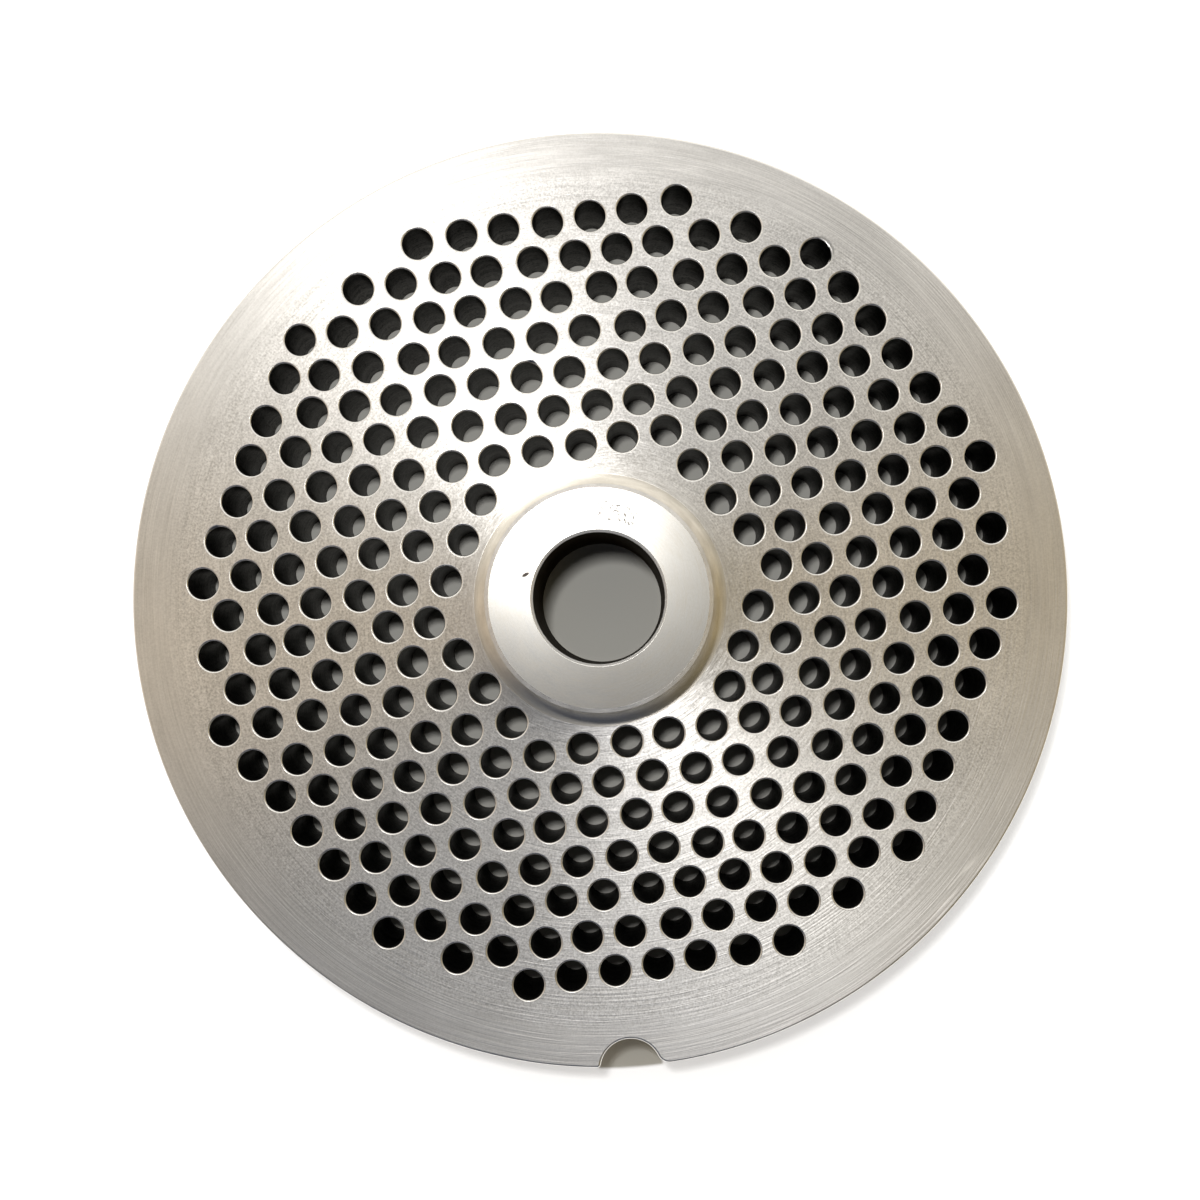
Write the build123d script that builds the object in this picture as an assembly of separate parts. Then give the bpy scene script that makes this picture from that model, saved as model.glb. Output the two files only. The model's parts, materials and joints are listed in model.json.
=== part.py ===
"""Mincer plate with a raised centre hub: one disc of steel, turned, notched and drilled.

Millimetres. The origin is the bore's centre on the flat knife face, which the plate rests on.
+Z runs up through the plate towards the hub, and the locating notch in the rim faces -Y.
"""
import math
import os

from build123d import *

# Disc
plate_diameter = 98.4
plate_thickness = 9.5
rim_chamfer = 0.25

# Hub on the outlet side
hub_diameter = 23.0
hub_height = 7.0
hub_chamfer = 0.4
cove_radius = 1.8

# Centre bore, which the stud of the feed screw runs in
bore_diameter = 13.2
bore_chamfer = 0.25

# Half-round notch that keeps the plate from turning, with one corner worn round
notch_radius = 3.2
notch_depth = 2.95
notch_corner_radius = 0.4
notch_worn_corner_radius = 1.4

# Field of mincing holes: staggered rows, nearly hexagonal, drilled a little off the bore's centre
hole_diameter = 3.2
hole_pitch = 4.595
row_spacing = 3.936
row_stagger = 2.353
field_turn = 5.67
field_shift_x = 0.3
field_shift_y = 0.75
hub_land = 0.1
rim_land = 5.0

# How far the drills run past each face
drill_overrun = 1.0

# Worked out from the sizes above
plate_radius = plate_diameter / 2
hub_radius = hub_diameter / 2
hole_radius = hole_diameter / 2
hub_top = plate_thickness + hub_height
notch_centre_y = notch_depth - plate_radius - notch_radius
field_inner_radius = hub_radius + cove_radius + hub_land + hole_radius
field_outer_radius = plate_radius - rim_land - hole_radius


def notch_corner(disc, side):
    """The upright edge where the notch meets the rim, on the +X side (1) or the -X side (-1)."""
    upright = disc.edges().filter_by(Axis.Z)
    near_notch = upright.filter_by(lambda edge: edge.center().Y < notch_centre_y / 2)
    return near_notch.filter_by(lambda edge: edge.center().X * side > 0)


def notched_disc():
    """The flat disc, with the notch in its rim and both edges of the outline broken."""
    with BuildPart() as disc:
        with BuildSketch():
            Circle(plate_radius)
            with Locations((0, notch_centre_y)):
                Circle(notch_radius, mode=Mode.SUBTRACT)
        extrude(amount=plate_thickness)
        fillet(notch_corner(disc, 1), notch_worn_corner_radius)
        fillet(notch_corner(disc, -1), notch_corner_radius)
        both_faces = disc.faces().filter_by(Plane.XY)
        chamfer(both_faces.edges(), rim_chamfer)
    return disc.part


def hub():
    """The turned hub and its cove, down to the knife face, as one revolved section."""
    cove_foot = hub_radius + cove_radius
    cove_top = plate_thickness + cove_radius
    with BuildPart() as turned:
        with BuildSketch(Plane.XZ):
            with BuildLine():
                Polyline(
                    (cove_foot, plate_thickness),
                    (cove_foot, 0),
                    (0, 0),
                    (0, hub_top),
                    (hub_radius - hub_chamfer, hub_top),
                    (hub_radius, hub_top - hub_chamfer),
                    (hub_radius, cove_top),
                )
                CenterArc((cove_foot, cove_top), cove_radius, start_angle=180, arc_size=90)
            make_face()
        revolve(axis=Axis.Z)
    return turned.part


def hole_centres():
    """Grid points whose holes clear the cove and leave a plain band at the rim."""
    rows = math.ceil(field_outer_radius / row_spacing)
    steps = math.ceil((field_outer_radius + row_stagger * rows) / hole_pitch)
    centres = []
    for row in range(-rows, rows + 1):
        for step in range(-steps, steps + 1):
            spot = Vector(hole_pitch * step + row_stagger * row, row_spacing * row)
            centre = spot.rotate(Axis.Z, field_turn) + Vector(field_shift_x, field_shift_y)
            if spot.length <= field_outer_radius and centre.length >= field_inner_radius:
                centres.append(centre)
    return centres


def mincing_drills():
    """One drill for each mincing hole."""
    drill = extrude(Pos(0, 0, -drill_overrun) * Circle(hole_radius), plate_thickness + 2 * drill_overrun)
    return [Pos(centre) * drill for centre in hole_centres()]


def bore_cutter():
    """The bore, opened by a small chamfer at each end."""
    mouth_radius = bore_diameter / 2 + bore_chamfer
    bore = extrude(Circle(bore_diameter / 2), hub_top)
    lower_mouth = Cone(mouth_radius, 0, mouth_radius, align=(Align.CENTER, Align.CENTER, Align.MIN))
    upper_mouth = Cone(0, mouth_radius, mouth_radius, align=(Align.CENTER, Align.CENTER, Align.MAX))
    return bore + lower_mouth + Pos(0, 0, hub_top) * upper_mouth


blank = notched_disc() + hub() - bore_cutter()
grinder_plate = blank - mincing_drills()
grinder_plate.label = "grinder_plate"

os.makedirs("parts", exist_ok=True)
export_step(grinder_plate, "parts/grinder_plate.step")
print("mincing holes:", len(hole_centres()))
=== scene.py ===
"""Looks of the hubbed mincer plate: ground, turned and drilled bare steel on a pale floor.

The plate is one piece. Its visible skin is swept around three outlines, the notched rim, the hub and each
mincing hole, and two flat faces close it. Every length is in metres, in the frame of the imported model:
+Z points from the knife face to the hub, and the rim notch is on -Y.
"""
import json
import logging
import math
from dataclasses import dataclass
from enum import Enum
from typing import Any, Mapping, Optional, Sequence, Union

import bpy
import numpy as np
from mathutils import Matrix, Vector
from mathutils.geometry import delaunay_2d_cdt


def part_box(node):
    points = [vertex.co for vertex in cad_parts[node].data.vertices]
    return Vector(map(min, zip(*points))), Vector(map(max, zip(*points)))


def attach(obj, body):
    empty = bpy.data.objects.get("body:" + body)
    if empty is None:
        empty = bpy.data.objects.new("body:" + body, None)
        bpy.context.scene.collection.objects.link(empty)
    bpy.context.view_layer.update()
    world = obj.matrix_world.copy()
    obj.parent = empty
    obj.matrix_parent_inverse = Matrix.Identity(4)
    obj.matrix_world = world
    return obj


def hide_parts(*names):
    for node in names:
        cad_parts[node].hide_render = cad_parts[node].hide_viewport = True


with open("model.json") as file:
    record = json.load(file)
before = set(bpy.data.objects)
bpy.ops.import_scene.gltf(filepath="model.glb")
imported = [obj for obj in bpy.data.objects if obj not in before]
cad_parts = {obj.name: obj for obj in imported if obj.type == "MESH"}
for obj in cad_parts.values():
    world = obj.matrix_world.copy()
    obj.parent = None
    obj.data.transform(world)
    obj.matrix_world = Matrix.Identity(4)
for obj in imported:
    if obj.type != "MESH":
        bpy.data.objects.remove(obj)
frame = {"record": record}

LOG = logging.getLogger("mincer_plate")
NODE = "grinder_plate"
MM = 0.001

Colour = tuple[float, float, float]
Number = Union[float, "Signal"]

BLACK: Colour = (0.0, 0.0, 0.0)
STAIN_COLOUR: Colour = (0.04, 0.035, 0.03)

# How far up a surface looks where it starts to count as an upward face, and where it fully does
FACES_UP = (0.9, 0.99)

# A direction no further from upright than this has no side in plan
NEARLY_UPRIGHT = 0.001

# A mark fades in between these shares of its half length and width
MARK_EDGE = (1.0, 0.5)

# Anisotropic Rotation that turns the sheen across the rings, into fans
QUARTER_TURN = 0.25

# Blotches of noise per metre
GRIT_SCALE = 4600.0
PIT_SCALE = 5600.0
CLOUD_SCALE = 60.0

# Where the noise of each kind of wear starts and is full, and how strongly it shows
PIT_STEP = (0.52, 0.60)
PIT_STRENGTH = 0.9
SCORE_STEP = (0.54, 0.68)
SCORE_STRENGTH = 1.2

# The grit is full among the mincing holes and faint on the plain steel inside and outside them
FIELD_INNER_EDGE = (13.0 * MM, 15.0 * MM)
FIELD_OUTER_EDGE = (46.5 * MM, 43.0 * MM)
PLAIN_GRIT = 0.25

# How much more the fine rings show than the broad ones
FINE_SHARE = 1.3


# ---------------------------------------------------------------------------------------------------------
# Shader maths
# ---------------------------------------------------------------------------------------------------------


class Signal:
    """A number that a node socket gives, usable in Python arithmetic.

    Each operation adds one Math node to the socket's own graph, apart from adding 0, which adds none.
    """

    def __init__(self, graph: "Graph", socket: bpy.types.NodeSocket) -> None:
        """Wraps a socket.

        Args:
            graph: the graph that the socket belongs to.
            socket: an output socket that gives a number.
        """
        self.graph = graph
        self.socket = socket

    def _join(self, operation: str, *values: Number) -> "Signal":
        """Adds a Math node.

        Args:
            operation: the Math node's operation.
            values: its inputs, in order.

        Returns:
            The node's result.
        """
        node = self.graph.add("ShaderNodeMath", {"operation": operation}, dict(enumerate(values)))
        return Signal(self.graph, node.outputs[0])

    def __add__(self, other: Number) -> "Signal":
        """self + other, without a node where other is 0."""
        return self if other == 0 else self._join("ADD", self, other)

    def __radd__(self, other: Number) -> "Signal":
        """other + self, which is also how sum() starts."""
        return self + other

    def __sub__(self, other: Number) -> "Signal":
        """self - other."""
        return self._join("SUBTRACT", self, other)

    def __rsub__(self, other: Number) -> "Signal":
        """other - self."""
        return self._join("SUBTRACT", other, self)

    def __mul__(self, other: Number) -> "Signal":
        """self * other."""
        return self._join("MULTIPLY", self, other)

    def __rmul__(self, other: Number) -> "Signal":
        """other * self."""
        return self._join("MULTIPLY", other, self)

    def __truediv__(self, other: Number) -> "Signal":
        """self / other."""
        return self._join("DIVIDE", self, other)

    def __rtruediv__(self, other: Number) -> "Signal":
        """other / self."""
        return self._join("DIVIDE", other, self)

    def root(self) -> "Signal":
        """The square root."""
        return self._join("SQRT", self)

    def at_least(self, other: Number) -> "Signal":
        """The larger of the two."""
        return self._join("MAXIMUM", self, other)

    def ramp(self, start: float, end: float) -> "Signal":
        """A soft step.

        Args:
            start: where the step is 0.
            end: where the step is 1; below start for a falling step.

        Returns:
            0 before start, 1 past end, and a smooth rise between them.
        """
        settings = {"interpolation_type": "SMOOTHSTEP"}
        low, high, at_low, at_high = (start, end, 0.0, 1.0) if start < end else (end, start, 1.0, 0.0)
        values = {"Value": self, "From Min": low, "From Max": high, "To Min": at_low, "To Max": at_high}
        node = self.graph.add("ShaderNodeMapRange", settings, values)
        return Signal(self.graph, node.outputs["Result"])


class Graph:
    """A node tree that is built from code."""

    def __init__(self, tree: bpy.types.NodeTree) -> None:
        """Takes over a node tree and empties it.

        Args:
            tree: a material's or the world's node tree.
        """
        self.tree = tree
        tree.nodes.clear()

    def add(
        self,
        kind: str,
        settings: Optional[Mapping[str, Any]] = None,
        values: Optional[Mapping[Union[str, int], Any]] = None,
    ) -> bpy.types.Node:
        """Adds any node.

        Args:
            kind: the node's type name.
            settings: its own settings, set first.
            values: what its input sockets get, by name or number: a Signal, a socket or a constant.

        Returns:
            The new node.
        """
        node = self.tree.nodes.new(kind)
        for name, value in (settings or {}).items():
            setattr(node, name, value)
        for key, value in (values or {}).items():
            source = value.socket if isinstance(value, Signal) else value
            if isinstance(source, bpy.types.NodeSocket):
                self.tree.links.new(source, node.inputs[key])
            else:
                node.inputs[key].default_value = source
        return node

    def coordinates(self) -> tuple[bpy.types.NodeSocket, Signal, Signal, Signal]:
        """The place on the object, in metres.

        Returns:
            The place as a vector, and its X, Y and Z.
        """
        place = self.add("ShaderNodeTexCoord").outputs["Object"]
        parts = self.add("ShaderNodeSeparateXYZ", None, {0: place}).outputs
        return place, Signal(self, parts[0]), Signal(self, parts[1]), Signal(self, parts[2])

    def upward(self) -> Signal:
        """1 on surfaces that face up, 0 on walls and slopes."""
        facing = self.add("ShaderNodeNewGeometry").outputs["True Normal"]
        rise = Signal(self, self.add("ShaderNodeSeparateXYZ", None, {0: facing}).outputs[2])
        return rise.ramp(*FACES_UP)

    def vector(self, x: Number, y: Number, z: Number) -> bpy.types.NodeSocket:
        """Three numbers as one vector."""
        return self.add("ShaderNodeCombineXYZ", None, {0: x, 1: y, 2: z}).outputs[0]

    def noise(self, place: bpy.types.NodeSocket, scale: float, detail: float = 2.0) -> Signal:
        """Smooth noise from 0 to 1.

        Args:
            place: where it is read.
            scale: blotches per unit of place.
            detail: how many finer layers it has.

        Returns:
            The noise.
        """
        values = {"Vector": place, "Scale": scale, "Detail": detail, "Roughness": 0.6}
        return Signal(self, self.add("ShaderNodeTexNoise", None, values).outputs[0])

    def blend(self, share: Number, first: Any, second: Any) -> bpy.types.NodeSocket:
        """A colour between two.

        Args:
            share: how much of the second, 0 to 1.
            first: colour or colour socket.
            second: colour or colour socket.

        Returns:
            The blended colour's socket.
        """
        first = (*first, 1.0) if isinstance(first, tuple) else first
        second = (*second, 1.0) if isinstance(second, tuple) else second
        settings = {"data_type": "RGBA", "clamp_factor": True}
        return self.add("ShaderNodeMix", settings, {0: share, 6: first, 7: second}).outputs[2]

    def relief(self, height: Signal) -> bpy.types.NodeSocket:
        """A bumped normal, from a height in metres."""
        return self.add("ShaderNodeBump", None, {"Height": height, "Distance": 1.0}).outputs[0]


# ---------------------------------------------------------------------------------------------------------
# Finishes
# ---------------------------------------------------------------------------------------------------------


class Finish(Enum):
    """The finishes of the plate's surfaces, each one material slot of its mesh."""

    FACE = 0
    TURNED = 1
    EDGE = 2
    # painted shade: the hole walls' near-black colour stands in for the shade inside the holes
    DRILLED = 3
    # painted shade: the bore wall's near-black colour stands in for the shade inside the bore
    REAMED = 4
    COVE = 5


class Wear(Enum):
    """The kinds of small marks that use has left."""

    SPECK = "dark speck"
    PITS = "shallow pits"
    SCORES = "turning scores"


@dataclass(frozen=True)
class Spot:
    """A shaded point of the plate: its place, and its distance and direction from the plate's axis."""

    place: bpy.types.NodeSocket
    x: Signal
    y: Signal
    z: Signal
    radius: Signal
    east: Signal
    north: Signal

    @classmethod
    def on(cls, graph: Graph) -> "Spot":
        """The point that a material's graph is worked out for."""
        place, x, y, z = graph.coordinates()
        radius = (x * x + y * y).root().at_least(MM)
        return cls(place, x, y, z, radius, x / radius, y / radius)


@dataclass(frozen=True)
class Rings:
    """Noise drawn out into rings round the plate's axis: how fast it changes along and across them."""

    around: float
    across: float
    detail: float

    def noise(self, graph: Graph, spot: Spot, reach: Signal) -> Signal:
        """The noise at a point.

        Args:
            graph: the graph that it is added to.
            spot: the point.
            reach: what tells one ring from the next, in metres.

        Returns:
            The noise, 0 to 1.
        """
        around = spot.east * self.around, spot.north * self.around
        return graph.noise(graph.vector(*around, reach * self.across), 1.0, self.detail)


@dataclass(frozen=True)
class Mark:
    """An oval patch of wear on an upward face."""

    kind: Wear
    place: tuple[float, float]
    half_length: float
    half_width: float
    turn: float = 0.0

    def cover(self, spot: Spot) -> Signal:
        """How much of the mark there is at a point, from 0 outside it to 1 in its middle."""
        cosine, sine = math.cos(self.turn), math.sin(self.turn)
        east, north = spot.x - self.place[0], spot.y - self.place[1]
        along = (east * cosine + north * sine) / self.half_length
        across = (north * cosine - east * sine) / self.half_width
        return (along * along + across * across).root().ramp(*MARK_EDGE)


FINE_RINGS = Rings(around=4.5, across=5200.0, detail=2.0)
BROAD_RINGS = Rings(around=5.0, across=900.0, detail=3.0)
SCORE_RINGS = Rings(around=9.0, across=1900.0, detail=1.0)


@dataclass(frozen=True)
class Steel:
    """Bare steel, worked round the plate's axis.

    The colour runs from dark to pale with the streaks, grain and blotches, and swing is how much the streaks
    and blotches change the roughness. Depths are in metres. The edge tint dims what is seen at a low angle.
    """

    name: str
    dark: Colour
    pale: Colour
    roughness: float
    anisotropy: float
    streaks: float
    grain: float
    blotches: float = 0.5
    swing: float = 0.06
    streak_depth: float = 0.0
    grain_depth: float = 0.0
    edge_tint: Colour = (1.0, 1.0, 1.0)
    marks: tuple[Mark, ...] = ()

    @staticmethod
    def texture(graph: Graph, kind: Wear, spot: Spot) -> Number:
        """The pattern of one kind of wear, as strong as it shows in the middle of a mark."""
        if kind is Wear.SCORES:
            return SCORE_RINGS.noise(graph, spot, spot.radius).ramp(*SCORE_STEP) * SCORE_STRENGTH
        if kind is Wear.PITS:
            return graph.noise(spot.place, PIT_SCALE, detail=1.0).ramp(*PIT_STEP) * PIT_STRENGTH
        return 1.0

    def wear(self, graph: Graph, kind: Wear, spot: Spot) -> Number:
        """How much of one kind of wear there is at a point, from all its marks.

        Args:
            graph: the graph that it is added to.
            kind: the kind of wear.
            spot: the point.

        Returns:
            The wear, or plain 0 where the finish has no mark of that kind.
        """
        covers = [mark.cover(spot) for mark in self.marks if mark.kind is kind]
        return sum(covers) * graph.upward() * self.texture(graph, kind, spot) if covers else 0.0

    def material(self) -> bpy.types.Material:
        """Builds the material.

        Returns:
            The material.
        """
        made = bpy.data.materials.new(self.name)
        made.use_nodes = True
        graph = Graph(made.node_tree)
        spot = Spot.on(graph)
        fine = FINE_RINGS.noise(graph, spot, spot.radius + spot.z)
        broad = BROAD_RINGS.noise(graph, spot, spot.radius + spot.z)
        grit = graph.noise(spot.place, GRIT_SCALE, detail=1.0)
        cloud = graph.noise(spot.place, CLOUD_SCALE, detail=3.0)
        in_field = spot.radius.ramp(*FIELD_INNER_EDGE) * spot.radius.ramp(*FIELD_OUTER_EDGE)
        grit_share = PLAIN_GRIT + in_field * (1.0 - PLAIN_GRIT)
        streak = (fine - 0.5) * FINE_SHARE + (broad - 0.5)
        wash = (cloud - 0.5) * self.blotches
        share = 0.5 + streak * self.streaks + (grit - 0.5) * grit_share * self.grain + wash
        colour = graph.blend(share + self.wear(graph, Wear.SCORES, spot), self.dark, self.pale)
        stain = self.wear(graph, Wear.SPECK, spot) + self.wear(graph, Wear.PITS, spot)
        if isinstance(stain, Signal):
            colour = graph.blend(stain, colour, STAIN_COLOUR)
        inputs = {
            "Base Color": colour,
            "Metallic": 1.0,
            "Roughness": self.roughness - streak * self.swing + wash * self.swing,
            "Anisotropic": self.anisotropy,
            "Anisotropic Rotation": QUARTER_TURN,
            "Specular Tint": (*self.edge_tint, 1.0),
        }
        height: Number = fine * self.streak_depth if self.streak_depth else 0.0
        if self.grain_depth:
            height = height + grit * grit_share * self.grain_depth
        if isinstance(height, Signal):
            inputs["Normal"] = graph.relief(height)
        shader = graph.add("ShaderNodeBsdfPrincipled", None, inputs)
        graph.add("ShaderNodeOutputMaterial", None, {"Surface": shader.outputs[0]})
        return made


FINISHES: dict[Finish, Steel] = {
    Finish.FACE: Steel(
        "ground_face", dark=(0.54, 0.52, 0.49), pale=(1.0, 0.97, 0.93),
        roughness=0.325, anisotropy=1.0, streaks=0.5, grain=1.7, streak_depth=3.5e-5, grain_depth=1.2e-6,
        marks=(Mark(Wear.SCORES, (37.2 * MM, -34.5 * MM), 8.0 * MM, 4.2 * MM, math.radians(47.0)),),
    ),
    Finish.TURNED: Steel(
        "turned_hub", dark=(0.58, 0.54, 0.47), pale=(0.94, 0.93, 0.90),
        roughness=0.24, anisotropy=0.0, streaks=0.55, grain=1.0, grain_depth=8e-7,
        marks=(
            Mark(Wear.SPECK, (-7.15 * MM, 2.8 * MM), 0.55 * MM, 0.24 * MM, math.radians(25.0)),
            Mark(Wear.PITS, (1.9 * MM, 8.4 * MM), 3.6 * MM, 1.8 * MM, math.radians(-20.0)),
            Mark(Wear.PITS, (-6.9 * MM, 8.2 * MM), 1.6 * MM, 1.2 * MM, math.radians(45.0)),
        ),
    ),
    Finish.COVE: Steel(
        "turned_cove", dark=(0.50, 0.46, 0.39), pale=(0.97, 0.92, 0.83),
        roughness=0.32, anisotropy=1.0, streaks=0.5, grain=0.6,
    ),
    Finish.EDGE: Steel(
        "burnished_edge", dark=(0.66, 0.64, 0.60), pale=(0.92, 0.90, 0.87),
        roughness=0.30, anisotropy=0.0, streaks=0.3, grain=0.8,
    ),
    # Hole walls: the near-black colours and dim edge tint are painted shade inside the holes
    Finish.DRILLED: Steel(
        "drilled_wall", dark=(0.02, 0.02, 0.02), pale=(0.22, 0.215, 0.21),
        roughness=0.36, anisotropy=0.0, streaks=1.2, grain=2.4, edge_tint=(0.55, 0.55, 0.55),
    ),
    # Bore wall: the near-black brownish colours and dark edge tint are painted shade inside the bore
    Finish.REAMED: Steel(
        "reamed_bore", dark=(0.025, 0.022, 0.018), pale=(0.07, 0.06, 0.05),
        roughness=0.45, anisotropy=0.0, streaks=1.0, grain=1.0, edge_tint=(0.22, 0.19, 0.15),
    ),
}


# ---------------------------------------------------------------------------------------------------------
# Outlines, sections and the mesh between them
# ---------------------------------------------------------------------------------------------------------


# Points of a section closer than this are one point
SAME_POINT = 1e-7

# What delaunay_2d_cdt fills: the outer loop less the loops inside it, to this precision
INSIDE_WITH_HOLES = 2
FACE_PRECISION = 1e-9

# Flat strip beside a rounding, so that the rounding ends level with the flat face
LIP = 0.02 * MM


@dataclass(frozen=True)
class Outline:
    """A closed line in plan, run anticlockwise, with the outward direction at each of its points."""

    points: np.ndarray
    outward: np.ndarray

    @classmethod
    def arc(cls, centre: Sequence[float], radius: float, start: float, end: float, steps: int,
            hollow: bool = False) -> "Outline":
        """Part of a circle.

        Args:
            centre: the circle's centre, x and y.
            radius: its radius.
            start: the first point's angle, in radians.
            end: the angle that the arc stops short of.
            steps: how many points it gets.
            hollow: true where the steel is outside the circle.

        Returns:
            The arc, without its end point.
        """
        angles = np.linspace(start, end, steps, endpoint=False)
        spokes = np.stack([np.cos(angles), np.sin(angles)], axis=1)
        return cls(np.asarray(centre, float) + radius * spokes, -spokes if hollow else spokes)

    @classmethod
    def circle(cls, centre: Sequence[float], radius: float, steps: int) -> "Outline":
        """A whole circle."""
        return cls.arc(centre, radius, 0.0, math.tau, steps)

    @classmethod
    def joined(cls, *arcs: "Outline") -> "Outline":
        """Arcs that follow one another, as one closed line."""
        return cls(np.concatenate([a.points for a in arcs]), np.concatenate([a.outward for a in arcs]))


@dataclass(frozen=True)
class Corner:
    """A corner of a section, with the finish of its rounding and of the straight run after it."""

    offset: float
    height: float
    rounding: float = 0.0
    steps: int = 0
    edge: Finish = Finish.EDGE
    run: Finish = Finish.TURNED


@dataclass(frozen=True)
class Section:
    """A smooth section: how far out and how high each ring of points is, and which way it faces."""

    offsets: np.ndarray
    heights: np.ndarray
    facing: np.ndarray
    finishes: list[Finish]

    @classmethod
    def through(cls, corners: Sequence[Corner]) -> "Section":
        """Rounds off a line of corners. The steel is on the left of the line.

        Args:
            corners: the corners in order; the first and the last stay as they are.

        Returns:
            The section, whose finishes belong to the strips between its points.
        """
        spots, facing, finishes = [], [], []
        line = [np.array([corner.offset, corner.height]) for corner in corners]
        ways = [(b - a) / np.linalg.norm(b - a) for a, b in zip(line, line[1:])]
        sides = [np.array([way[1], -way[0]]) for way in ways]
        spots.append(line[0])
        facing.append(sides[0])
        finishes.append(corners[0].run)
        for corner, point, way, side, next_way in zip(corners[1:], line[1:], ways, sides, ways[1:]):
            turn = math.atan2(way[0] * next_way[1] - way[1] * next_way[0], float(way @ next_way))
            bulge = math.copysign(corner.rounding, turn)
            centre = point - way * corner.rounding * math.tan(abs(turn) / 2) - side * bulge
            for step in range(corner.steps + 1):
                angle = turn * step / corner.steps
                spun = np.array([
                    side[0] * math.cos(angle) - side[1] * math.sin(angle),
                    side[0] * math.sin(angle) + side[1] * math.cos(angle),
                ])
                spots.append(centre + spun * bulge)
                facing.append(spun)
                finishes.append(corner.run if step == corner.steps else corner.edge)
        spots.append(line[-1])
        facing.append(sides[-1])
        steps = [np.linalg.norm(b - a) for a, b in zip(spots, spots[1:])]
        kept = [0] + [number for number, step in enumerate(steps, 1) if step > SAME_POINT]
        finishes = [finishes[i - 1] for i in kept[1:]]
        spots, facing = np.array(spots)[kept], np.array(facing)[kept]
        return cls(spots[:, 0], spots[:, 1], facing, finishes)


@dataclass(frozen=True)
class Skin:
    """The two open ends of a swept wall: its rings on the outlet face and on the knife face."""

    outlet: np.ndarray
    knife: np.ndarray


class PlateMesh:
    """Collects the rings of points and the faces between them, then makes one closed mesh."""

    def __init__(self) -> None:
        """Starts with no points."""
        self.points = np.zeros((0, 3))
        self.normals = np.zeros((0, 3))
        self.faces: list[tuple[int, ...]] = []
        self.finishes: list[Finish] = []

    def sweep(self, outline: Outline, section: Section) -> list[np.ndarray]:
        """Carries a section along an outline.

        Args:
            outline: the closed line in plan.
            section: the section, whose offsets are measured outward from the line.

        Returns:
            The rings of point numbers, one for each point of the section.
        """
        rings = []
        steps = len(outline.points)
        for offset, height, (out, up) in zip(section.offsets, section.heights, section.facing):
            plan = outline.points + outline.outward * offset
            rings.append(np.arange(steps) + len(self.points))
            self.points = np.vstack([self.points, np.column_stack([plan, np.full(steps, height)])])
            normals = np.column_stack([outline.outward * out, np.full(steps, up)])
            self.normals = np.vstack([self.normals, normals])
        for ring, next_ring, finish in zip(rings, rings[1:], section.finishes):
            quads = np.stack([ring, np.roll(ring, -1), np.roll(next_ring, -1), next_ring], axis=1)
            self.faces.extend(map(tuple, quads.tolist()))
            self.finishes.extend([finish] * steps)
        return rings

    def close(self, rings: Sequence[np.ndarray], faces_up: bool, finish: Finish) -> None:
        """Fills a flat face between an outer ring and the rings of its holes.

        Args:
            rings: all rings of the face.
            faces_up: true if the face looks towards +Z.
            finish: the face's finish.
        """
        numbers = np.concatenate(rings)
        plan = [Vector(p) for p in self.points[numbers, :2]]
        starts = np.cumsum([0] + [len(ring) for ring in rings])
        loops = [list(range(a, b)) for a, b in zip(starts, starts[1:])]
        _, _, triangles, sources, _, _ = delaunay_2d_cdt(plan, [], loops, INSIDE_WITH_HOLES, FACE_PRECISION)
        numbers = [int(numbers[source[0]]) for source in sources]
        for triangle in triangles:
            a, b, c = (numbers[i] for i in triangle)
            self.faces.append((a, b, c) if faces_up else (a, c, b))
            self.finishes.append(finish)

    def build(self, name: str) -> bpy.types.Object:
        """Makes the object.

        Args:
            name: the piece's name.

        Returns:
            The object, linked to the scene, with one material for each finish.
        """
        mesh = bpy.data.meshes.new(name)
        mesh.from_pydata(self.points.tolist(), [], self.faces)
        for finish in Finish:
            mesh.materials.append(FINISHES[finish].material())
        mesh.polygons.foreach_set("material_index", [finish.value for finish in self.finishes])
        mesh.shade_smooth()
        mesh.normals_split_custom_set_from_vertices(self.normals.tolist())
        mesh.validate()
        piece = bpy.data.objects.new(name, mesh)
        bpy.context.scene.collection.objects.link(piece)
        return piece


# ---------------------------------------------------------------------------------------------------------
# The plate's features
# ---------------------------------------------------------------------------------------------------------


def mount(name: str) -> Mapping[str, Any]:
    """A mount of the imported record.

    Args:
        name: the mount's name.

    Returns:
        Its entry.
    """
    return next(entry for entry in frame["record"]["mounts"] if entry["name"] == name)


THICKNESS: float = mount("outlet_face")["pos_m"][2]


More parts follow.
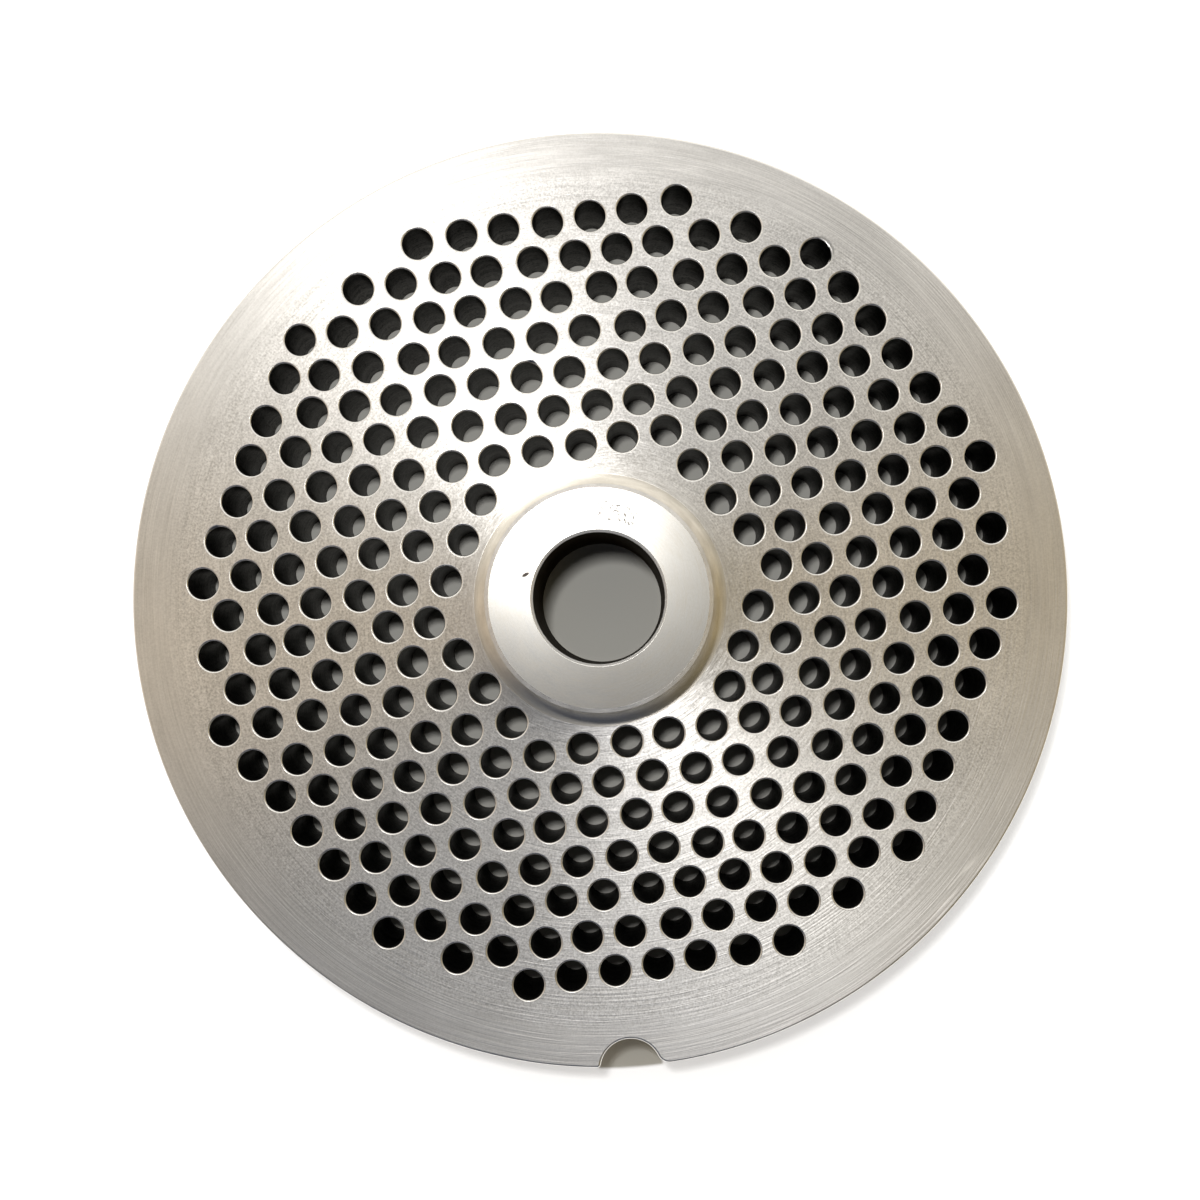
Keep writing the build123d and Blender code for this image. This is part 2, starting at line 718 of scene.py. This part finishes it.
@dataclass(frozen=True)
class Rim:
    """The disc's edge, with the half-round locating notch in it."""

    radius: float
    plain_band: float = 5.0 * MM
    edge_round: float = 0.25 * MM
    notch_radius: float = 3.2 * MM
    notch_depth: float = 2.95 * MM
    corner_radius: float = 0.4 * MM
    worn_corner_radius: float = 1.4 * MM
    edge_steps: int = 4
    rim_steps: int = 420
    notch_steps: int = 30
    corner_steps: int = 8
    worn_corner_steps: int = 12

    def corner_centre(self, rounding: float, side: int) -> np.ndarray:
        """Centre of the arc that rounds a corner of the notch into the rim.

        Args:
            rounding: the arc's radius.
            side: 1 for the corner on +X, -1 for the other.

        Returns:
            The centre, x and y.
        """
        drop = self.radius + self.notch_radius - self.notch_depth
        reach, gap = self.radius - rounding, self.notch_radius + rounding
        y = (gap**2 - reach**2 - drop**2) / (2 * drop)
        return np.array([side * math.sqrt(reach**2 - y**2), y])

    def outline(self) -> Outline:
        """The rim in plan, starting beside the notch."""
        notch = np.array([0.0, self.notch_depth - self.notch_radius - self.radius])
        right = self.corner_centre(self.worn_corner_radius, 1)
        left = self.corner_centre(self.corner_radius, -1)
        rim_start = math.atan2(right[1], right[0])
        rim_end = math.atan2(left[1], left[0]) + math.tau
        left_end = math.atan2(*(notch - left)[::-1]) + math.tau
        right_start = math.atan2(*(notch - right)[::-1])
        notch_start = math.atan2(*(left - notch)[::-1])
        notch_end = math.atan2(*(right - notch)[::-1])
        return Outline.joined(
            Outline.arc((0, 0), self.radius, rim_start, rim_end, self.rim_steps),
            Outline.arc(left, self.corner_radius, rim_end, left_end, self.corner_steps),
            Outline.arc(notch, self.notch_radius, notch_start, notch_end, self.notch_steps, hollow=True),
            Outline.arc(
                right, self.worn_corner_radius, right_start % -math.tau, rim_start, self.worn_corner_steps
            ),
        )

    def shape(self, mesh: PlateMesh) -> Skin:
        """Adds the rim's wall, from the knife face up.

        Args:
            mesh: the mesh that it is added to.

        Returns:
            The wall's open ends.
        """
        section = Section.through([
            Corner(-self.edge_round - LIP, 0.0, run=Finish.EDGE),
            Corner(0.0, 0.0, self.edge_round, self.edge_steps),
            Corner(0.0, THICKNESS, self.edge_round, self.edge_steps, run=Finish.FACE),
            Corner(-self.edge_round - LIP, THICKNESS),
        ])
        rings = mesh.sweep(self.outline(), section)
        return Skin(outlet=rings[-1], knife=rings[0])


@dataclass(frozen=True)
class Hub:
    """The turned hub, its cove and the bore through it."""

    top: float
    bore_radius: float
    radius: float = 11.5 * MM
    chamfer: float = 0.4 * MM
    cove_radius: float = 1.8 * MM
    bore_chamfer: float = 0.25 * MM
    softening: float = 0.07 * MM
    steps: int = 240
    cove_steps: int = 14
    edge_steps: int = 3

    def shape(self, mesh: PlateMesh) -> Skin:
        """Adds the hub, from the foot of its cove to the bore's mouth in the knife face.

        Args:
            mesh: the mesh that it is added to.

        Returns:
            The hub's open ends.
        """
        soft = self.softening, self.edge_steps
        mouth = self.bore_radius + self.bore_chamfer
        section = Section.through([
            Corner(self.radius + self.cove_radius + LIP, THICKNESS),
            Corner(self.radius, THICKNESS, self.cove_radius, self.cove_steps, edge=Finish.COVE),
            Corner(self.radius, self.top - self.chamfer, *soft, edge=Finish.FACE, run=Finish.FACE),
            Corner(self.radius - self.chamfer, self.top, *soft, edge=Finish.FACE),
            Corner(mouth, self.top, *soft, run=Finish.EDGE),
            Corner(self.bore_radius, self.top - self.bore_chamfer, *soft, run=Finish.REAMED),
            Corner(self.bore_radius, self.bore_chamfer, *soft, run=Finish.EDGE),
            Corner(mouth, 0.0, *soft),
            Corner(mouth + 2 * self.softening, 0.0),
        ])
        rings = mesh.sweep(Outline.circle((0, 0), 0.0, self.steps), section)
        return Skin(outlet=rings[0], knife=rings[-1])


@dataclass(frozen=True)
class Chip:
    """A piece broken out of a hole's edge in the outlet face."""

    near: tuple[float, float]
    bearing: float
    half_width: float
    reach: float
    sink: float
    raggedness: float = 0.22
    ragged_step: float = 2.4

    def strength(self, spokes: np.ndarray) -> np.ndarray:
        """How far broken out each spoke of the hole is.

        Args:
            spokes: the hole's outward directions.

        Returns:
            0 away from the chip, up to 1 in its middle, a little ragged.
        """
        angles = np.arctan2(spokes[:, 1], spokes[:, 0]) - self.bearing
        away = np.abs((angles + math.pi) % math.tau - math.pi) / self.half_width
        ragged = 1.0 - self.raggedness * (1.0 - np.sin(np.arange(len(spokes)) * self.ragged_step))
        return np.clip(1.0 - away**2, 0.0, 1.0) * ragged

    def break_out(self, mesh: PlateMesh, spokes: np.ndarray, rings: Sequence[np.ndarray]) -> None:
        """Pushes the hole's upper rings outward and down.

        Args:
            mesh: the mesh that holds the rings.
            spokes: the hole's outward directions.
            rings: the rings of the broken edge, from the outlet face down.
        """
        strength = self.strength(spokes)
        for step, ring in enumerate(rings):
            fall = step / len(rings)
            mesh.points[ring, :2] += spokes * (strength * self.reach * (1.0 - fall))[:, None]
            mesh.points[ring, 2] -= strength * self.sink * fall


@dataclass(frozen=True)
class HoleField:
    """The mincing holes, in staggered rows a little off the bore's centre."""

    cove_foot: float
    reach: float
    hole_radius: float = 1.6 * MM
    pitch: float = 4.595 * MM
    row_spacing: float = 3.936 * MM
    row_stagger: float = 2.353 * MM
    turn: float = math.radians(5.67)
    shift: tuple[float, float] = (0.3 * MM, 0.75 * MM)
    land: float = 0.1 * MM
    stray: float = 0.10 * MM
    stray_gap: float = 0.04 * MM
    outlet_bevel: float = 0.2 * MM
    knife_bevel: float = 0.08 * MM
    rounding_share: float = 0.95
    outlet_steps: int = 3
    knife_steps: int = 2
    steps: int = 32
    seed: int = 276
    chips: tuple[Chip, ...] = (
        Chip((-6.3 * MM, 23.1 * MM), math.radians(68.0), 0.40, 0.34 * MM, 0.5 * MM),
        Chip((25.0 * MM, 34.2 * MM), math.radians(22.0), 1.05, 0.22 * MM, 2.6 * MM),
        Chip((-39.4 * MM, 8.6 * MM), math.radians(112.0), 0.34, 0.26 * MM, 0.5 * MM),
    )

    def centres(self) -> np.ndarray:
        """Where the holes are.

        Returns:
            The centres, one row of x and y for each hole.
        """
        count = math.ceil(2 * self.reach / self.row_spacing)
        rows, steps = np.mgrid[-count:count + 1, -count:count + 1].reshape(2, -1)
        along = self.pitch * steps + self.row_stagger * rows
        across = self.row_spacing * rows
        cosine, sine = math.cos(self.turn), math.sin(self.turn)
        turned = np.column_stack([along * cosine - across * sine, along * sine + across * cosine])
        grid = turned + np.array(self.shift)
        clears_cove = np.hypot(*grid.T) >= self.cove_foot + self.land + self.hole_radius
        drilled = grid[clears_cove & (np.hypot(along, across) <= self.reach)]
        strayed = drilled + np.random.default_rng(self.seed).normal(0.0, self.stray, drilled.shape)
        distance = np.hypot(*strayed.T)
        least = self.cove_foot + self.hole_radius + self.outlet_bevel + self.stray_gap
        return strayed * np.maximum(1.0, least / distance)[:, None]

    def shape(self, mesh: PlateMesh) -> list[Skin]:
        """Adds every hole's wall and broken edges.

        Args:
            mesh: the mesh that they are added to.

        Returns:
            The walls' open ends.
        """
        outlet_edge = self.outlet_bevel * self.rounding_share, self.outlet_steps
        knife_edge = self.knife_bevel * self.rounding_share, self.knife_steps
        section = Section.through([
            Corner(self.outlet_bevel, THICKNESS, run=Finish.EDGE),
            Corner(0.0, THICKNESS, *outlet_edge, run=Finish.DRILLED),
            Corner(0.0, 0.0, *knife_edge, run=Finish.EDGE),
            Corner(self.knife_bevel, 0.0),
        ])
        centres = self.centres()
        chipped = {int(np.argmin(np.hypot(*(centres - chip.near).T))): chip for chip in self.chips}
        skins = []
        for number, centre in enumerate(centres):
            outline = Outline.circle(centre, self.hole_radius, self.steps)
            rings = mesh.sweep(outline, section)
            if number in chipped:
                chipped[number].break_out(mesh, outline.outward, rings[:self.outlet_steps + 1])
            skins.append(Skin(outlet=rings[0], knife=rings[-1]))
        return skins


@dataclass(frozen=True)
class MincerPlate:
    """The whole plate."""

    rim: Rim
    hub: Hub
    field: HoleField

    @classmethod
    def from_frame(cls) -> "MincerPlate":
        """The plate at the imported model's own sizes."""
        _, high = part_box(NODE)
        rim = Rim(radius=mount("rim")["dims"]["r_mm"] * MM)
        hub = Hub(top=high.z, bore_radius=mount("bore")["dims"]["r_mm"] * MM)
        cove_foot = hub.radius + hub.cove_radius
        field = HoleField(cove_foot=cove_foot, reach=rim.radius - rim.plain_band - HoleField.hole_radius)
        return cls(rim, hub, field)

    def make(self) -> bpy.types.Object:
        """Builds the plate's skin in place of the plain solid.

        Returns:
            The piece.
        """
        mesh = PlateMesh()
        skins = [self.rim.shape(mesh), self.hub.shape(mesh), *self.field.shape(mesh)]
        mesh.close([skin.outlet for skin in skins], True, Finish.FACE)
        mesh.close([skin.knife for skin in skins], False, Finish.FACE)
        piece = mesh.build("mincing_plate")
        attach(piece, "root")
        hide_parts(NODE)
        triangles = sum(len(face) - 2 for face in mesh.faces)
        LOG.info("%s: %d holes, %d triangles", piece.name, len(skins) - 2, triangles)
        return piece


# ---------------------------------------------------------------------------------------------------------
# Studio
# ---------------------------------------------------------------------------------------------------------


@dataclass(frozen=True)
class Room:
    """Four walls that differ in brightness and blend into one another, a ceiling and a pale horizon.

    Each pair of numbers is where a blend starts and where it is full, on an axis of the direction that the
    light comes from. For the walls that direction is taken in plan, and elsewhere in space.
    """

    zenith: Colour = (0.20, 0.20, 0.20)
    north: Colour = (1.30, 1.27, 1.20)
    east: Colour = (0.51, 0.40, 0.20)
    west: Colour = (0.80, 0.67, 0.52)
    south: Colour = (0.02, 0.035, 0.075)
    south_east: Colour = (0.15, 0.12, 0.055)
    horizon: Colour = (0.75, 0.75, 0.75)
    panel: Colour = (0.62, 0.60, 0.55)
    panel_way: tuple[float, float] = (0.07, 0.09)
    panel_edge: tuple[float, float] = (0.15, 0.04)
    panel_rise: tuple[float, float] = (0.5, 0.6)
    west_to_east: tuple[float, float] = (-1.0, 1.0)
    sides_to_north: tuple[float, float] = (0.0, 0.9)
    sides_to_south: tuple[float, float] = (-0.05, -0.80)
    south_to_south_east: tuple[float, float] = (0.1, 0.8)
    walls_to_horizon: tuple[float, float] = (0.24, 0.11)
    walls_to_zenith: tuple[float, float] = (0.86, 0.998)
    dim_ceiling: tuple[float, float] = (-0.02, -0.14)
    dim_ceiling_rise: tuple[float, float] = (0.60, 0.80)
    dim_ceiling_share: float = 0.6

    def walls(self, graph: Graph, east: Signal, north: Signal,
              dim: bpy.types.NodeSocket) -> bpy.types.NodeSocket:
        """The colour of the walls.

        Args:
            graph: the world's graph.
            east: how far towards +X a direction points, in plan.
            north: how far towards +Y it points, in plan.
            dim: the colour of the south wall.

        Returns:
            The colour's socket.
        """
        sides = graph.blend(east.ramp(*self.west_to_east), self.west, self.east)
        bright = graph.blend(north.ramp(*self.sides_to_north), sides, self.north)
        return graph.blend(north.ramp(*self.sides_to_south), bright, dim)

    def dress(self) -> None:
        """Makes the room the scene's world."""
        world = bpy.data.worlds.new("room")
        bpy.context.scene.world = world
        world.use_nodes = True
        graph = Graph(world.node_tree)
        way = graph.add("ShaderNodeTexCoord").outputs["Generated"]
        parts = graph.add("ShaderNodeSeparateXYZ", None, {0: way}).outputs
        x, y, z = (Signal(graph, part) for part in parts)
        flat = (x * x + y * y).root().at_least(NEARLY_UPRIGHT)
        east, north = x / flat, y / flat
        dim = graph.blend(east.ramp(*self.south_to_south_east), self.south, self.south_east)
        walls = self.walls(graph, east, north, dim)
        light = graph.blend(z.ramp(*self.walls_to_horizon), walls, self.horizon)
        light = graph.blend(z.ramp(*self.walls_to_zenith), light, self.zenith)
        overhead = y.ramp(*self.dim_ceiling) * z.ramp(*self.dim_ceiling_rise)
        dimmed = north.ramp(*self.sides_to_south) * overhead * self.dim_ceiling_share
        light = graph.blend(dimmed, light, dim)
        aside, ahead = x - self.panel_way[0], y - self.panel_way[1]
        in_panel = (aside * aside + ahead * ahead).root().ramp(*self.panel_edge)
        light = graph.blend(in_panel * z.ramp(*self.panel_rise), light, self.panel)
        background = graph.add("ShaderNodeBackground", None, {"Color": light, "Strength": 1.0})
        graph.add("ShaderNodeOutputWorld", None, {"Surface": background.outputs[0]})


@dataclass(frozen=True)
class Lamp:
    """A small soft disc that shines straight down, with what it gives in W/m2 right below it."""

    name: str
    place: tuple[float, float, float]
    size: float
    irradiance: float

    def hang(self) -> bpy.types.Object:
        """Adds the lamp to the scene.

        Returns:
            The lamp.
        """
        data = bpy.data.lights.new(self.name, "AREA")
        data.shape = "DISK"
        data.size = self.size
        data.energy = self.irradiance * math.pi * self.place[2] ** 2
        lamp = bpy.data.objects.new(self.name, data)
        lamp.location = self.place
        bpy.context.scene.collection.objects.link(lamp)
        return lamp


@dataclass(frozen=True)
class Floor:
    """A pale floor, which glows a little to the eye past the plate, and has a darker painted shadow colour
    under the plate and past its notch.
    """

    half: float = 3.0
    drop: float = 0.05 * MM
    pale: Colour = (0.93, 0.93, 0.93)
    # Painted shadow: the darker floor colour under the plate and past its notch
    under: Colour = (0.50, 0.49, 0.45)
    glow_near: Colour = (0.36, 0.37, 0.39)
    glow_far: Colour = (0.60, 0.60, 0.60)
    glow_reach: tuple[float, float] = (70.0 * MM, 140.0 * MM)
    centre: tuple[float, float] = (-0.18 * MM, 0.30 * MM)
    pale_past_rim: tuple[float, float] = (49.2 * MM, 51.2 * MM)
    pale_past_notch: tuple[float, float] = (52.3 * MM, 52.8 * MM)
    notch_y: float = -52.5 * MM
    notch_edge: tuple[float, float] = (4.0 * MM, 3.4 * MM)
    roughness: float = 0.9

    def shape(self) -> bpy.types.Mesh:
        """The floor's mesh, one square."""
        mesh = bpy.data.meshes.new("floor")
        corners = [(x * self.half, y * self.half, 0) for x, y in ((-1, -1), (1, -1), (1, 1), (-1, 1))]
        mesh.from_pydata(corners, [], [(0, 1, 2, 3)])
        return mesh

    def dress(self) -> bpy.types.Material:
        """The floor's material.

        Returns:
            The material.
        """
        made = bpy.data.materials.new("pale_floor")
        made.use_nodes = True
        graph = Graph(made.node_tree)
        _, x, y, _ = graph.coordinates()
        aside, ahead = x - self.centre[0], y - self.centre[1]
        radius = (aside * aside + ahead * ahead).root()
        beyond = y - self.notch_y
        at_notch = (aside * aside + beyond * beyond).root().ramp(*self.notch_edge)
        past_rim, past_notch = radius.ramp(*self.pale_past_rim), radius.ramp(*self.pale_past_notch)
        past_plate = past_rim * (1.0 - at_notch) + past_notch * at_notch
        rays = graph.add("ShaderNodeLightPath").outputs
        seen = sum(Signal(graph, rays[f"Is {kind} Ray"]) for kind in ("Camera", "Glossy", "Transmission"))
        glow = graph.blend(radius.ramp(*self.glow_reach), self.glow_near, self.glow_far)
        shader = graph.add(
            "ShaderNodeBsdfPrincipled",
            None,
            {
                # painted shadow colour under the plate and past its notch, pale floor elsewhere
                "Base Color": graph.blend(past_plate, self.under, self.pale),
                "Roughness": self.roughness,
                "Specular IOR Level": 0.0,
                "Emission Color": graph.blend(seen * past_plate, BLACK, glow),
                "Emission Strength": 1.0,
            },
        )
        graph.add("ShaderNodeOutputMaterial", None, {"Surface": shader.outputs[0]})
        return made

    def lay(self) -> bpy.types.Object:
        """Adds the floor to the scene, just below the plate.

        Returns:
            The floor.
        """
        mesh = self.shape()
        mesh.materials.append(self.dress())
        floor = bpy.data.objects.new("floor", mesh)
        floor.location.z = -self.drop
        bpy.context.scene.collection.objects.link(floor)
        return floor


@dataclass(frozen=True)
class Camera:
    """The camera, close above the plate, with the notch a little right of straight down."""

    roll: float = math.radians(-3.73)
    height: float = 140 * MM
    aside: float = 2.94 * MM
    below: float = 4.2 * MM
    sensor: float = 36.0
    lens: float = 39.96
    shift: tuple[float, float] = (-28.3 / 1200, 40.1 / 1200)
    clip_start: float = 0.01

    def place(self) -> None:
        """Adds the camera and makes it the scene's."""
        data = bpy.data.cameras.new("camera")
        data.sensor_width = self.sensor
        data.lens = self.lens
        data.shift_x, data.shift_y = self.shift
        data.clip_start = self.clip_start
        camera = bpy.data.objects.new("camera", data)
        cosine, sine = math.cos(self.roll), math.sin(self.roll)
        camera.location = (
            self.aside * cosine + self.below * sine,
            self.aside * sine - self.below * cosine,
            THICKNESS + self.height,
        )
        camera.rotation_euler = (0.0, 0.0, self.roll)
        bpy.context.scene.collection.objects.link(camera)
        bpy.context.scene.camera = camera


@dataclass(frozen=True)
class Studio:
    """All that is round the plate. A second lamp lights only the floor, to show through the holes."""

    room: Room = Room()
    lamp: Lamp = Lamp("lamp", (-13.5 * MM, 28.0 * MM, 180.0 * MM), size=8.0 * MM, irradiance=0.31)
    floor_lamp: Lamp = Lamp(
        "floor_lamp", (-10.5 * MM, 23.5 * MM, 180.0 * MM), size=18.0 * MM, irradiance=1.25
    )
    floor: Floor = Floor()
    camera: Camera = Camera()

    def set_up(self) -> None:
        """Adds the room, the lamps, the floor and the camera."""
        self.room.dress()
        self.lamp.hang()
        only_floor = bpy.data.collections.new("floor_only")
        only_floor.objects.link(self.floor.lay())
        self.floor_lamp.hang().light_linking.receiver_collection = only_floor
        self.camera.place()


def main() -> None:
    """Builds the plate and its studio."""
    logging.basicConfig(level=logging.INFO, format="%(name)s: %(message)s")
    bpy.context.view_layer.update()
    MincerPlate.from_frame().make()
    Studio().set_up()
    bpy.context.scene.view_settings.view_transform = "Standard"


if __name__ == "__main__":
    main()
